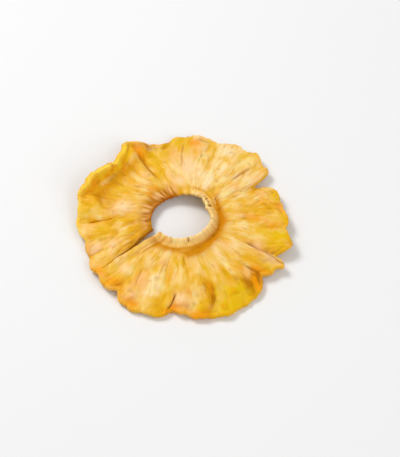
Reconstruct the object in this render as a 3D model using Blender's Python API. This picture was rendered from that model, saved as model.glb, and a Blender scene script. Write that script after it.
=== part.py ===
"""A dried pineapple ring, cut open along one radius, lying on a table.

The slice has shrunk as it dried. It is domed, its scalloped rim waves up and down, and one stretch of
the rim has curled up. The woody edge of the cored hole stands up as a thin lip on the near side, which
is -Y, and turns down into the hole on the far left. A radial slit runs from the hole almost to the rim:
its near edge carries the lip on, and its far edge dips under it.

The solid is one sheet with a varying thickness. Places on the sheet are given by a turn, which runs
from 0 at the near edge of the slit counter-clockwise to 360 degrees at its far edge, and a share, which
runs from 0 at the hole to 1 at the rim. The underside is flat where it would reach below the table.
"""

import math
from typing import NamedTuple

import bmesh
import bpy
import numpy as np

MM = 0.001

# Plan
RIM_RADIUS = 40.8 * MM
HOLE_OFFSET = 1.65 * MM
WIDEST_TURN = 70.0
HOLE_RADIUS = 11.05 * MM
HOLE_LEAN = 0.55 * MM
HOLE_LEAN_TURN = 140.0
HOLE_OVAL = 0.5 * MM
HOLE_OVAL_TURN = 150.0
HOLE_BULGE = 1.6 * MM
HOLE_BULGE_TURN = 169.0
HOLE_BULGE_REACH = 19.0
SLIT_ANGLE = math.radians(216.0)

# Scallops and torn marks of the rim
SCALLOPS = 13
SCALLOP_DEPTH = 1.2 * MM
SCALLOP_BASE = 0.3
SCALLOP_NARROWNESS = 6
SCALLOP_WANDER = 0.6
SCALLOP_WANDERS = 3
MARK_SHARPNESS = 1.6
RELIEF_POWER = 2.5

# Section
HUB_HEIGHT = 5.2 * MM
DOME_POWER = 1.8
LIP_WIDTH = 1.7 * MM
TURN_DOWN_WIDTH = 3.6 * MM
TURN_DOWN_FULL = 2.0 * MM
GROOVE_WIDTH = 1.5 * MM
EDGE_THINNING = 0.55

# Slit
SLIT_SHARE = 0.90
SLIT_WIDTH = 4.8 * MM
SLIT_NEAR_PART = 0.28
SLIT_LINE_WIDTH = 0.55 * MM
SLIT_NARROWING = 2.4
SLIT_RISE = 2.6 * MM
SLIT_RISE_POWER = 1.4
SLIT_DIP = 2.6 * MM
SLIT_DIP_WIDTH = 4.5 * MM

# Curl of the far left rim
CURL_BEGIN = 262.0
CURL_BEGIN_EASE = 14.0
CURL_END = 312.0
CURL_END_EASE = 8.0
CURL_FROM_SHARE = 0.76
CURL_RISE = 5.0 * MM
CURL_PULL_IN = 1.6 * MM

# Pleats between the fibres
PLEATS = 31
PLEAT_DEPTH = 0.28 * MM
PLEAT_WANDER = 2.2
PLEAT_WANDERS = 4
CREASE_FADE = 1.7

# Mesh
COLUMNS = 188
COLUMN_CROWDING = 0.35
ROWS = 12
ROW_CROWDING = 0.65
TURN_PROBE = 1.0
SHARE_PROBE = 0.01


class RimMark(NamedTuple):
    """A tip or a notch in the rim: its turn, how far it stands out, and its width before and after."""

    turn: float
    out: float
    before: float
    after: float


class Crease(NamedTuple):
    """A radial fold pressed into the sheet, between two shares of the way from hole to rim."""

    turn: float
    inner: float
    outer: float
    depth: float
    width: float


# Height of the middle of the sheet at the rim, by turn
RIM_HEIGHTS = (
    (0, 2.4 * MM),
    (28, 1.5 * MM),
    (62, 1.7 * MM),
    (90, 1.1 * MM),
    (115, 3.0 * MM),
    (130, 4.4 * MM),
    (156, 3.4 * MM),
    (171, 2.0 * MM),
    (190, 3.3 * MM),
    (222, 1.1 * MM),
    (250, 1.6 * MM),
    (272, 4.0 * MM),
    (290, 5.6 * MM),
    (310, 5.4 * MM),
    (330, 2.4 * MM),
    (346, 1.1 * MM),
    (360, 2.4 * MM),
)

# How far the edge of the hole stands above the sheet around it, by turn
LIP_RISES = (
    (0, 2.6 * MM),
    (25, 2.2 * MM),
    (60, 2.4 * MM),
    (115, 2.7 * MM),
    (165, 3.0 * MM),
    (205, 2.0 * MM),
    (238, 0.2 * MM),
    (268, -2.0 * MM),
    (310, -2.5 * MM),
    (360, -3.0 * MM),
)

# Depth of the groove that runs around the outside of the lip, by turn
GROOVE_DEPTHS = (
    (0, 0.2 * MM),
    (50, 0.5 * MM),
    (95, 1.1 * MM),
    (150, 1.1 * MM),
    (195, 0.5 * MM),
    (235, 0.0),
    (360, 0.0),
)

# How far from the hole the groove runs, by turn
GROOVE_PLACES = (
    (0, 4.1 * MM),
    (45, 4.1 * MM),
    (60, 5.5 * MM),
    (70, 5.2 * MM),
    (90, 4.2 * MM),
    (100, 3.8 * MM),
    (120, 3.6 * MM),
    (150, 3.7 * MM),
    (160, 4.4 * MM),
    (172, 5.0 * MM),
    (190, 5.3 * MM),
    (360, 4.1 * MM),
)

# Thickness of the sheet, by share: thin at the core, thicker towards the rim
THICKNESSES = (
    (0.0, 1.6 * MM),
    (0.25, 2.2 * MM),
    (0.4, 2.2 * MM),
    (0.9, 2.7 * MM),
    (1.0, 2.7 * MM),
)

RIM_MARKS = (
    RimMark(15, -2.6 * MM, 4, 3),
    RimMark(21, 2.0 * MM, 2.5, 9),
    RimMark(48.5, -2.4 * MM, 3.5, 3.5),
    RimMark(76, 1.8 * MM, 9, 4),
    RimMark(86, 2.4 * MM, 7, 7),
    RimMark(105, -3.2 * MM, 2.6, 3.5),
    RimMark(115.5, 2.6 * MM, 3, 2),
    RimMark(120, -3.0 * MM, 2, 3),
    RimMark(128.5, 1.5 * MM, 3.5, 3),
    RimMark(138, -1.0 * MM, 3, 3),
    RimMark(151, -2.8 * MM, 6, 9),
    RimMark(174, -8.8 * MM, 5.2, 1.9),
    RimMark(177.3, 0.7 * MM, 1.5, 1.5),
    RimMark(181.5, -1.0 * MM, 2.5, 4),
    RimMark(190, 1.6 * MM, 5, 5),
    RimMark(200.5, 2.0 * MM, 3, 4),
    RimMark(211, -1.2 * MM, 6, 5),
    RimMark(225, 1.6 * MM, 5, 5),
    RimMark(249, -2.4 * MM, 11, 7),
    RimMark(268, 3.4 * MM, 5, 4),
    RimMark(281, -1.5 * MM, 6, 5),
    RimMark(285, -2.6 * MM, 10, 12),
    RimMark(301, 1.8 * MM, 8, 6),
    RimMark(308, 2.2 * MM, 5, 6),
    RimMark(348, -3.0 * MM, 10, 5),
)

CREASES = (
    Crease(22, 0.40, 0.80, 0.5 * MM, 1.5 * MM),
    Crease(48.5, 0.60, 1.10, 0.7 * MM, 1.6 * MM),
    Crease(74, 0.50, 1.00, 0.5 * MM, 1.6 * MM),
    Crease(103, 0.50, 1.10, 0.9 * MM, 1.7 * MM),
    Crease(119, 0.45, 1.10, 1.2 * MM, 1.5 * MM),
    Crease(145, 0.35, 0.85, 0.5 * MM, 1.5 * MM),
    Crease(170, 0.50, 1.10, 1.2 * MM, 1.9 * MM),
    Crease(189, 0.40, 0.90, 0.6 * MM, 1.5 * MM),
    Crease(212, 0.30, 1.00, 0.7 * MM, 1.5 * MM),
    Crease(238, 0.35, 0.90, 0.6 * MM, 1.5 * MM),
    Crease(264, 0.20, 0.90, 1.4 * MM, 1.9 * MM),
    Crease(326, 0.45, 0.95, 0.7 * MM, 1.7 * MM),
    Crease(347, 0.70, 1.10, 0.9 * MM, 1.7 * MM),
)


def smooth(x):
    """A step from 0 to 1 as x goes from 0 to 1, level at both ends."""
    x = np.clip(x, 0, 1)
    return x * x * (3 - 2 * x)


def bell(x):
    """1 at x = 0, and near 0 from x = 2 on."""
    return np.exp(-x * x)


def wave(turn, count):
    """A sine wave with a whole count of waves in a full turn."""
    return np.sin(np.radians(turn) * count)


def larger(a, b):
    """The larger of two heights, with a rounded corner where they meet."""
    return (a**4 + b**4) ** 0.25


def along(stations, place):
    """The value at a place, eased between the stations on either side of it."""
    places, values = np.array(stations, float).T
    after = np.clip(np.searchsorted(places, place, side="right"), 1, len(places) - 1)
    way = (place - places[after - 1]) / (places[after] - places[after - 1])
    return values[after - 1] + (values[after] - values[after - 1]) * smooth(way)


def turned(turn, centre):
    """Degrees from a centre to a turn, the short way round."""
    return (turn - centre + 180) % 360 - 180


def hole_radius(turn):
    """Radius of the cored hole, which is slightly oval, with a bulge of flesh into it at the far right."""
    oval = HOLE_OVAL * np.cos(2 * np.radians(turn - HOLE_OVAL_TURN))
    lean = HOLE_LEAN * np.cos(np.radians(turn - HOLE_LEAN_TURN))
    bulge = HOLE_BULGE * bell(turned(turn, HOLE_BULGE_TURN) / HOLE_BULGE_REACH)
    return HOLE_RADIUS + oval - lean - bulge


def plain_rim_radius(turn):
    """Radius of the rim without its scallops and marks, about the hole, which is off centre."""
    return RIM_RADIUS + HOLE_OFFSET * np.cos(np.radians(turn - WIDEST_TURN))


def rim_relief(turn):
    """How far the scalloped and torn rim stands out from its plain radius."""
    phase = np.radians(turn) * SCALLOPS / 2 + SCALLOP_WANDER * wave(turn, SCALLOP_WANDERS)
    relief = SCALLOP_DEPTH * (SCALLOP_BASE - np.cos(phase) ** SCALLOP_NARROWNESS)
    for mark in RIM_MARKS:
        away = turned(turn, mark.turn)
        width = np.where(away < 0, mark.before, mark.after)
        relief = relief + mark.out * np.exp(1 - np.hypot(1, MARK_SHARPNESS * away / width))
    return relief


def curl(turn, share):
    """0 on the plain sheet, rising to 1 at the rim in the middle of its curl."""
    begun = smooth((turn - CURL_BEGIN) / CURL_BEGIN_EASE)
    unended = smooth((CURL_END - turn) / CURL_END_EASE)
    way = np.clip((share - CURL_FROM_SHARE) / (1 - CURL_FROM_SHARE), 0, 1)
    return begun * unended * way**2


def slit_left(share):
    """How much of the slit is left: 1 at the hole, 0 where it ends."""
    return 1 - np.clip(share / SLIT_SHARE, 0, 1)


def slit_width(share):
    """Width of the slit, open at the hole and then a line that closes at its end."""
    left = slit_left(share)
    return SLIT_WIDTH * left**SLIT_NARROWING + SLIT_LINE_WIDTH * np.sqrt(left)


def plan(turn, share, relief):
    """Distance from the hole's centre and compass angle of a place on the sheet."""
    hole, plain = hole_radius(turn), plain_rim_radius(turn)
    radius = hole + (plain - hole) * share - CURL_PULL_IN * curl(turn, share)
    if relief:
        radius = radius + rim_relief(turn) * share**RELIEF_POWER
    slit = slit_width(share) / radius
    angle = SLIT_ANGLE + slit * SLIT_NEAR_PART + np.radians(turn) * (1 - slit / math.tau)
    return radius, angle


def edge_height(turn, share, radius):
    """Height that the standing and turned down edges of the hole and the slit add to the sheet."""
    from_hole = radius - hole_radius(turn)
    from_near_slit = radius * np.radians(turn)
    from_far_slit = radius * np.radians(360 - turn)
    lip = along(LIP_RISES, turn)
    width = LIP_WIDTH + (TURN_DOWN_WIDTH - LIP_WIDTH) * smooth(-lip / TURN_DOWN_FULL)
    lip = lip * bell(from_hole / width)
    near_edge = SLIT_RISE * slit_left(share) ** SLIT_RISE_POWER * bell(from_near_slit / LIP_WIDTH)
    far_edge = SLIT_DIP * slit_left(share) * bell(from_far_slit / SLIT_DIP_WIDTH)
    from_groove = from_hole - along(GROOVE_PLACES, turn)
    groove = along(GROOVE_DEPTHS, turn) * bell(from_groove / GROOVE_WIDTH)
    return larger(np.maximum(lip, 0), near_edge) - larger(np.minimum(lip, 0), far_edge) - groove


def fold_height(turn, share, radius):
    """Height that the pleats and creases add to the sheet."""
    wander = PLEAT_WANDER * wave(turn, PLEAT_WANDERS)
    folds = PLEAT_DEPTH * share * np.sin(np.radians(turn) * PLEATS + wander)
    for crease in CREASES:
        aside = radius * np.radians(turned(turn, crease.turn))
        middle = (crease.inner + crease.outer) / 2
        reach = (crease.outer - crease.inner) / 2
        fade = smooth(CREASE_FADE * (1 - np.abs(share - middle) / reach))
        folds = folds - crease.depth * bell(aside / crease.width) * fade
    return folds


def sheet_point(turn, share, relief=True):
    """A point on the middle of the sheet, or of the sheet as it would be with a plain rim."""
    radius, angle = plan(turn, share, relief)
    level = HUB_HEIGHT + (along(RIM_HEIGHTS, turn) - HUB_HEIGHT) * share**DOME_POWER
    height = level + CURL_RISE * curl(turn, share)
    height = height + edge_height(turn, share, radius) + fold_height(turn, share, radius)
    return np.stack([radius * np.cos(angle), radius * np.sin(angle), height], axis=-1)


def sheet_normal(turn, share):
    """The upward normal of the sheet, from points to each side. Notches in the rim don't tip it."""
    in_slit = share < SLIT_SHARE
    ahead, behind = turn + TURN_PROBE, turn - TURN_PROBE
    ahead = np.where(in_slit, np.minimum(ahead, 360), ahead % 360)
    behind = np.where(in_slit, np.maximum(behind, 0), behind % 360)
    around = sheet_point(ahead, share, False) - sheet_point(behind, share, False)
    outer, inner = np.minimum(share + SHARE_PROBE, 1), np.maximum(share - SHARE_PROBE, 0)
    outward = sheet_point(turn, outer, False) - sheet_point(turn, inner, False)
    normal = np.cross(outward, around)
    return normal / np.linalg.norm(normal, axis=-1, keepdims=True)


def crowded(way, crowding, crowds):
    """Eases an even way from 0 to 1 so that it runs slower around the start of each crowd."""
    phase = 2 * math.pi * crowds
    return way - crowding * np.sin(phase * way) / phase


def column_turns():
    """Turns of the mesh's columns, closer together at the slit and at the deepest notch opposite."""
    return 360 * crowded(np.linspace(0, 1, COLUMNS + 1), COLUMN_CROWDING, 2)


def row_shares():
    """Shares of the mesh's rows, closer together at the hole and at the rim."""
    return crowded(np.linspace(0, 1, ROWS + 1), ROW_CROWDING, 1)


def sides_of_sheet():
    """The points of the sheet's top and underside by column and row, and the row where the slit ends."""
    shares = row_shares()
    turn, share = np.meshgrid(column_turns(), shares, indexing="ij")
    slit_row = int(np.searchsorted(shares, SLIT_SHARE))
    thickness = along(THICKNESSES, share)
    thickness[:, [0, -1]] *= EDGE_THINNING
    thickness[[0, -1], 1:slit_row] *= EDGE_THINNING
    half = thickness[..., None] / 2 * sheet_normal(turn, share)
    middle = sheet_point(turn, share)
    top, underside = middle + half, middle - half
    underside[..., 2] = np.maximum(underside[..., 2], 0)
    return top, underside, slit_row


def ring_mesh():
    """The closed mesh of the ring, with its origin at the middle of its footprint on the table."""
    top, underside, slit_row = sides_of_sheet()
    columns, rows = COLUMNS, ROWS
    both = np.concatenate([top.reshape(-1, 3), underside.reshape(-1, 3)])
    centre = (both.min(axis=0) + both.max(axis=0)) / 2
    centre[2] = 0
    sides = {"top": top - centre, "underside": underside - centre}
    mesh = bmesh.new()
    made = {}

    def corner(side, column, row):
        """The vertex of a side at a column and row. Past the slit's end, the last column is the first."""
        if column == columns and row >= slit_row:
            column = 0
        key = (side, column, row)
        if key not in made:
            made[key] = mesh.verts.new(sides[side][column, row])
        return made[key]

    def wall(start, end):
        """A face that joins the two sides along an edge that has the sheet on its left."""
        places = (("underside", start), ("underside", end), ("top", end), ("top", start))
        mesh.faces.new([corner(side, *place) for side, place in places])

    for column in range(columns):
        for row in range(rows):
            square = ((column, row), (column, row + 1), (column + 1, row + 1), (column + 1, row))
            mesh.faces.new([corner("top", *place) for place in square])
            mesh.faces.new([corner("underside", *place) for place in reversed(square)])
        wall((column, rows), (column + 1, rows))
        wall((column + 1, 0), (column, 0))
    for row in range(slit_row):
        wall((0, row), (0, row + 1))
        wall((columns, row + 1), (columns, row))
    return mesh


def dried_flesh():
    """The golden, slightly waxy finish of dried pineapple."""
    material = bpy.data.materials.new("dried_flesh")
    material.use_nodes = True
    shader = material.node_tree.nodes["Principled BSDF"]
    shader.inputs["Base Color"].default_value = (0.86, 0.52, 0.10, 1)
    shader.inputs["Roughness"].default_value = 0.5
    shader.inputs["Metallic"].default_value = 0.0
    return material


def build():
    """Clears the scene and makes the ring."""
    for old in list(bpy.data.objects):
        bpy.data.objects.remove(old)
    data = bpy.data.meshes.new("pineapple_ring")
    mesh = ring_mesh()
    mesh.to_mesh(data)
    mesh.free()
    data.shade_smooth()
    data.materials.append(dried_flesh())
    ring = bpy.data.objects.new("pineapple_ring", data)
    bpy.context.scene.collection.objects.link(ring)


build()
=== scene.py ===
"""A dried pineapple ring on a pale studio floor: fibrous, golden, scalloped, with a lip and a slit."""

import logging
import math
from dataclasses import dataclass, field
from enum import Enum
from typing import NamedTuple

import bpy
import numpy as np
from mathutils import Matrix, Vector


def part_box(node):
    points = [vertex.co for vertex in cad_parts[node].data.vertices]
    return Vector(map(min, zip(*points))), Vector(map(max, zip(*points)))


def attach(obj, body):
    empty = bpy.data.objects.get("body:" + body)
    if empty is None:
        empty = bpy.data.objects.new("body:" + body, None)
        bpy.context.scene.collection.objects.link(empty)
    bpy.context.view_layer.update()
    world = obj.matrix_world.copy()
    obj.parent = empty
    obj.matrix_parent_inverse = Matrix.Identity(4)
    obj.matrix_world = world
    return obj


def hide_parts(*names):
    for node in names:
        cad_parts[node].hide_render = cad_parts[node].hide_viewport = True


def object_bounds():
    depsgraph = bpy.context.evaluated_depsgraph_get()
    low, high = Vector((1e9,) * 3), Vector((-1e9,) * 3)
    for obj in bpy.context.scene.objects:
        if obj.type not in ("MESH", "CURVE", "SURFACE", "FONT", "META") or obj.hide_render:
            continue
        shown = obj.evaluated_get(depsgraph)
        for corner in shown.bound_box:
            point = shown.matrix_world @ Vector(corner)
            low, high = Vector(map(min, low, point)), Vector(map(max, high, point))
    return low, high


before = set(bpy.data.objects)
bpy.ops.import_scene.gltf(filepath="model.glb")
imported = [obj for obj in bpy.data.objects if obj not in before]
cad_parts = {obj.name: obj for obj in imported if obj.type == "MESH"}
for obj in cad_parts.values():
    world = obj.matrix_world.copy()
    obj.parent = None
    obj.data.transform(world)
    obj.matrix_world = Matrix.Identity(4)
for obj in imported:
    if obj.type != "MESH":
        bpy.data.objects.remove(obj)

MM = 0.001
CORNER_POWER = 4
CAD_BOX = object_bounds()
NODE = "pineapple_ring"

log = logging.getLogger("pineapple_ring")
Array = np.ndarray
Colour = tuple[float, float, float]


def srgb(red: int, green: int, blue: int) -> Colour:
    """Turn a colour as seen on a screen into the linear colour that shaders use.

    Args:
        red: Red, 0 to 255.
        green: Green, 0 to 255.
        blue: Blue, 0 to 255.

    Returns:
        The linear red, green and blue, 0 to 1.
    """
    parts = (part / 255 for part in (red, green, blue))
    return tuple(p / 12.92 if p <= 0.04045 else ((p + 0.055) / 1.055) ** 2.4 for p in parts)


def smooth(x: Array) -> Array:
    """Step from 0 to 1 as x goes from 0 to 1, level at both ends."""
    x = np.clip(x, 0, 1)
    return x * x * (3 - 2 * x)


def bell(x: Array) -> Array:
    """Give 1 at x = 0, falling to near 0 from x = 2 on."""
    return np.exp(-x * x)


def larger(a: Array, b: Array) -> Array:
    """Give the larger of two heights, with a rounded corner where they meet."""
    return (a**CORNER_POWER + b**CORNER_POWER) ** (1 / CORNER_POWER)


def turned(turn: Array, centre: float) -> Array:
    """Give the degrees from a centre to a turn, the short way round."""
    return (turn - centre + 180) % 360 - 180


def wave(turn: Array, count: int) -> Array:
    """Give a sine wave with a whole count of waves in a full turn."""
    return np.sin(np.radians(turn) * count)


def table(kind: type, *rows: tuple[float, ...]) -> tuple:
    """Make rows of one kind, whose lengths are given in millimetres.

    Args:
        kind: The kind of row, which names its own lengths.
        rows: The values of each row, in the order of its fields.

    Returns:
        The rows, with their lengths in metres.
    """
    made = (kind(*row) for row in rows)
    return tuple(row._replace(**{name: getattr(row, name) * MM for name in kind.lengths}) for row in made)


class Stations(tuple):
    """Pairs of a place and the value there, with an eased way from each to the next."""

    @classmethod
    def of(cls, *pairs: tuple[float, float], unit: float = 1.0) -> "Stations":
        """Make the stations.

        Args:
            pairs: Each place and its value, in the order of the places.
            unit: What one unit of value stands for.

        Returns:
            The stations.
        """
        return cls((place, value * unit) for place, value in pairs)

    def at(self, place: Array) -> Array:
        """Read the value at a place.

        Args:
            place: Where to read, in the unit of the stations' places.

        Returns:
            The value there.
        """
        places, values = np.array(self, float).T
        after = np.clip(np.searchsorted(places, place, side="right"), 1, len(places) - 1)
        way = (place - places[after - 1]) / (places[after] - places[after - 1])
        return values[after - 1] + (values[after] - values[after - 1]) * smooth(way)


class RimMark(NamedTuple):
    """A tip or a notch in the rim: its turn, how far it stands out, and its width before and after."""

    turn: float
    out: float
    before: float
    after: float
    lengths = ("out",)


class Crease(NamedTuple):
    """A radial fold pressed into the sheet, between two shares of the way from hole to rim."""

    turn: float
    inner: float
    outer: float
    depth: float
    width: float
    lengths = ("depth", "width")


class Crack(NamedTuple):
    """A fine split along the fibres, which drifts by some degrees from its inner to its outer end."""

    turn: float
    inner: float
    outer: float
    depth: float
    width: float
    drift: float
    lengths = ("depth", "width")


@dataclass(frozen=True)
class FibreNoise:
    """Smooth noise on the sheet, drawn out along the fibres and without a seam around the hole."""

    seed: int
    around: int
    along: int
    spare_rows: int = 3

    def at(self, turn: Array, share: Array) -> Array:
        """Read the noise.

        Args:
            turn: Degrees around the hole.
            share: Way from the hole to the rim, 0 to 1.

        Returns:
            Values from about -1 to 1.
        """
        size = self.around, self.along + self.spare_rows
        lattice = np.random.default_rng(self.seed).uniform(-1, 1, size)
        across = turn / 360 * self.around
        down = np.clip(share, 0, 1) * self.along
        column, row = np.floor(across).astype(int), np.floor(down).astype(int)
        u, v = smooth(across - column), smooth(down - row)
        near, far = column % self.around, (column + 1) % self.around
        inner = lattice[near, row] * (1 - u) + lattice[far, row] * u
        outer = lattice[near, row + 1] * (1 - u) + lattice[far, row + 1] * u
        return inner * (1 - v) + outer * v


@dataclass(frozen=True)
class SlicePlan:
    """The ring seen from above: the hole, the rim with its scallops and tears, and the slit."""

    rim_radius: float = 40.8 * MM
    hole_offset: float = 1.65 * MM
    widest_turn: float = 70.0
    hole_radius: float = 11.05 * MM
    hole_lean: float = 0.55 * MM
    hole_lean_turn: float = 140.0
    hole_oval: float = 0.5 * MM
    hole_oval_turn: float = 150.0
    hole_bulge: float = 1.6 * MM
    hole_bulge_turn: float = 169.0
    hole_bulge_reach: float = 19.0
    slit_angle: float = math.radians(216.0)
    slit_share: float = 0.90
    slit_width: float = 4.8 * MM
    slit_near_part: float = 0.28
    slit_line_width: float = 0.55 * MM
    slit_narrowing: float = 2.4
    scallops: int = 13
    scallop_depth: float = 1.2 * MM
    scallop_base: float = 0.3
    scallop_narrowness: int = 6
    scallop_wander: float = 0.6
    scallop_wanders: int = 3
    mark_sharpness: float = 1.6
    relief_power: float = 2.5
    marks: tuple[RimMark, ...] = table(
        RimMark,
        (15, -2.6, 4, 3), (21, 2.0, 2.5, 9), (48.5, -2.4, 3.5, 3.5), (76, 1.8, 9, 4), (86, 2.4, 7, 7),
        (105, -3.2, 2.6, 3.5), (115.5, 2.6, 3, 2), (120, -3.0, 2, 3), (128.5, 1.5, 3.5, 3),
        (138, -1.0, 3, 3), (151, -2.8, 6, 9), (174, -8.8, 5.2, 1.9), (177.3, 0.7, 1.5, 1.5),
        (181.5, -1.0, 2.5, 4), (190, 1.6, 5, 5), (200.5, 2.0, 3, 4), (211, -1.2, 6, 5),
        (225, 1.6, 5, 5), (249, -2.4, 11, 7), (268, 3.4, 5, 4), (281, -1.5, 6, 5), (285, -2.6, 10, 12),
        (301, 1.8, 8, 6), (308, 2.2, 5, 6), (348, -3.0, 10, 5),
    )
    ragged: tuple[tuple[FibreNoise, float], ...] = (
        (FibreNoise(11, 64, 1), 0.45 * MM),
        (FibreNoise(12, 150, 1), 0.28 * MM),
        (FibreNoise(13, 330, 1), 0.14 * MM),
    )

    def hole(self, turn: Array) -> Array:
        """Radius of the cored hole: slightly oval, smaller on the right, with a bulge at the far right.

        Args:
            turn: Degrees around the hole.

        Returns:
            Metres.
        """
        oval = self.hole_oval * np.cos(2 * np.radians(turn - self.hole_oval_turn))
        lean = self.hole_lean * np.cos(np.radians(turn - self.hole_lean_turn))
        bulge = bell(turned(turn, self.hole_bulge_turn) / self.hole_bulge_reach)
        return self.hole_radius + oval - lean - self.hole_bulge * bulge

    def plain_rim(self, turn: Array) -> Array:
        """Radius of the rim without scallops and marks, about the hole, which is off centre."""
        return self.rim_radius + self.hole_offset * np.cos(np.radians(turn - self.widest_turn))

    def relief(self, turn: Array, fine: bool) -> Array:
        """How far the scalloped and torn rim stands out from its plain radius.

        Args:
            turn: Degrees around the hole.
            fine: Whether to add the ragged ends of the fibres.

        Returns:
            Metres outward.
        """
        phase = np.radians(turn) * self.scallops / 2
        phase = phase + self.scallop_wander * wave(turn, self.scallop_wanders)
        relief = self.scallop_depth * (self.scallop_base - np.cos(phase) ** self.scallop_narrowness)
        for mark in self.marks:
            away = turned(turn, mark.turn)
            width = np.where(away < 0, mark.before, mark.after)
            relief = relief + mark.out * np.exp(1 - np.hypot(1, self.mark_sharpness * away / width))
        if fine:
            for noise, size in self.ragged:
                relief = relief + size * noise.at(turn, np.zeros_like(turn))
        return relief

    def slit_left(self, share: Array) -> Array:
        """How much of the slit is left: 1 at the hole, 0 where it ends."""
        return 1 - np.clip(share / self.slit_share, 0, 1)

    def slit_gap(self, share: Array) -> Array:
        """Width of the slit, open at the hole and then a line that closes at its end."""
        left = self.slit_left(share)
        return self.slit_width * left**self.slit_narrowing + self.slit_line_width * np.sqrt(left)


@dataclass(frozen=True)
class SliceSection:
    """The ring cut through: its dome, waves, lip, groove, slit edges, curl, pleats and creases."""

    hub_height: float = 5.2 * MM
    dome_power: float = 1.8
    lip_width: float = 1.7 * MM
    turn_down_width: float = 3.6 * MM
    turn_down_full: float = 2.0 * MM
    groove_width: float = 1.5 * MM
    slit_rise: float = 2.6 * MM
    slit_rise_power: float = 1.4
    slit_dip: float = 2.6 * MM
    slit_dip_width: float = 4.5 * MM
    curl_begin: float = 262.0
    curl_begin_ease: float = 14.0
    curl_end: float = 312.0
    curl_end_ease: float = 8.0
    curl_from_share: float = 0.76
    curl_rise: float = 5.0 * MM
    curl_pull_in: float = 1.6 * MM
    pleats: int = 31
    pleat_depth: float = 0.28 * MM
    pleat_wander: float = 2.2
    pleat_wanders: int = 4
    crease_fade: float = 1.7
    rim_heights: Stations = Stations.of(
        (0, 2.4), (28, 1.5), (62, 1.7), (90, 1.1), (115, 3.0), (130, 4.4), (156, 3.4), (171, 2.0),
        (190, 3.3), (222, 1.1), (250, 1.6), (272, 4.0), (290, 5.6), (310, 5.4), (330, 2.4), (346, 1.1),
        (360, 2.4), unit=MM,
    )
    lip_rises: Stations = Stations.of(
        (0, 2.6), (25, 2.2), (60, 2.4), (115, 2.7), (165, 3.0), (205, 2.0), (238, 0.2), (268, -2.0),
        (310, -2.5), (360, -3.0), unit=MM,
    )
    groove_depths: Stations = Stations.of(
        (0, 0.2), (50, 0.5), (95, 1.1), (150, 1.1), (195, 0.5), (235, 0), (360, 0), unit=MM,
    )
    groove_places: Stations = Stations.of(
        (0, 4.1), (45, 4.1), (60, 5.5), (70, 5.2), (90, 4.2), (100, 3.8), (120, 3.6), (150, 3.7),
        (160, 4.4), (172, 5.0), (190, 5.3), (360, 4.1), unit=MM,
    )
    thicknesses: Stations = Stations.of(
        (0.0, 1.6), (0.25, 2.2), (0.4, 2.2), (0.9, 2.7), (1.0, 2.7), unit=MM,
    )
    creases: tuple[Crease, ...] = table(
        Crease,
        (22, 0.40, 0.80, 0.5, 1.5), (48.5, 0.60, 1.10, 0.7, 1.6), (74, 0.50, 1.00, 0.5, 1.6),
        (103, 0.50, 1.10, 0.9, 1.7), (119, 0.45, 1.10, 1.2, 1.5), (145, 0.35, 0.85, 0.5, 1.5),
        (170, 0.50, 1.10, 1.2, 1.9), (189, 0.40, 0.90, 0.6, 1.5), (212, 0.30, 1.00, 0.7, 1.5),
        (238, 0.35, 0.90, 0.6, 1.5), (264, 0.20, 0.90, 1.4, 1.9), (326, 0.45, 0.95, 0.7, 1.7),
        (347, 0.70, 1.10, 0.9, 1.7),
    )

    def curl(self, turn: Array, share: Array) -> Array:
        """How much the rim curls up.

        Args:
            turn: Degrees around the hole.
            share: Way from the hole to the rim, 0 to 1.

        Returns:
            0 on the plain sheet, rising to 1 at the rim in the middle of the curl.
        """
        begun = smooth((turn - self.curl_begin) / self.curl_begin_ease)
        unended = smooth((self.curl_end - turn) / self.curl_end_ease)
        way = np.clip((share - self.curl_from_share) / (1 - self.curl_from_share), 0, 1)
        return begun * unended * way**2

    def edges(self, plan: SlicePlan, turn: Array, share: Array, radius: Array) -> Array:
        """Height that the standing and turned down edges of the hole and the slit add.

        Args:
            plan: The ring from above.
            turn: Degrees around the hole.
            share: Way from the hole to the rim, 0 to 1.
            radius: Distance from the hole's centre.

        Returns:
            Metres upward.
        """
        from_hole = radius - plan.hole(turn)
        lip = self.lip_rises.at(turn)
        wider = smooth(-lip / self.turn_down_full)
        lip = lip * bell(from_hole / (self.lip_width + (self.turn_down_width - self.lip_width) * wider))
        left = plan.slit_left(share)
        near = bell(radius * np.radians(turn) / self.lip_width)
        near = self.slit_rise * left**self.slit_rise_power * near
        far = self.slit_dip * left * bell(radius * np.radians(360 - turn) / self.slit_dip_width)
        from_groove = from_hole - self.groove_places.at(turn)
        groove = self.groove_depths.at(turn) * bell(from_groove / self.groove_width)
        return larger(np.maximum(lip, 0), near) - larger(np.minimum(lip, 0), far) - groove

    def folds(self, turn: Array, share: Array, radius: Array) -> Array:
        """Height that the pleats and creases add.

        Args:
            turn: Degrees around the hole.
            share: Way from the hole to the rim, 0 to 1.
            radius: Distance from the hole's centre.

        Returns:
            Metres upward.
        """
        wander = self.pleat_wander * wave(turn, self.pleat_wanders)
        folds = self.pleat_depth * share * np.sin(np.radians(turn) * self.pleats + wander)
        for crease in self.creases:
            aside = radius * np.radians(turned(turn, crease.turn))
            middle, reach = (crease.inner + crease.outer) / 2, (crease.outer - crease.inner) / 2
            fade = smooth(self.crease_fade * (1 - np.abs(share - middle) / reach))
            folds = folds - crease.depth * bell(aside / crease.width) * fade
        return folds


class Layer(NamedTuple):
    """One size of fibre bundles: its noise, its height, and the share from which it has full height."""

    noise: FibreNoise
    patches: FibreNoise
    height: float
    full_from: float


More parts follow.
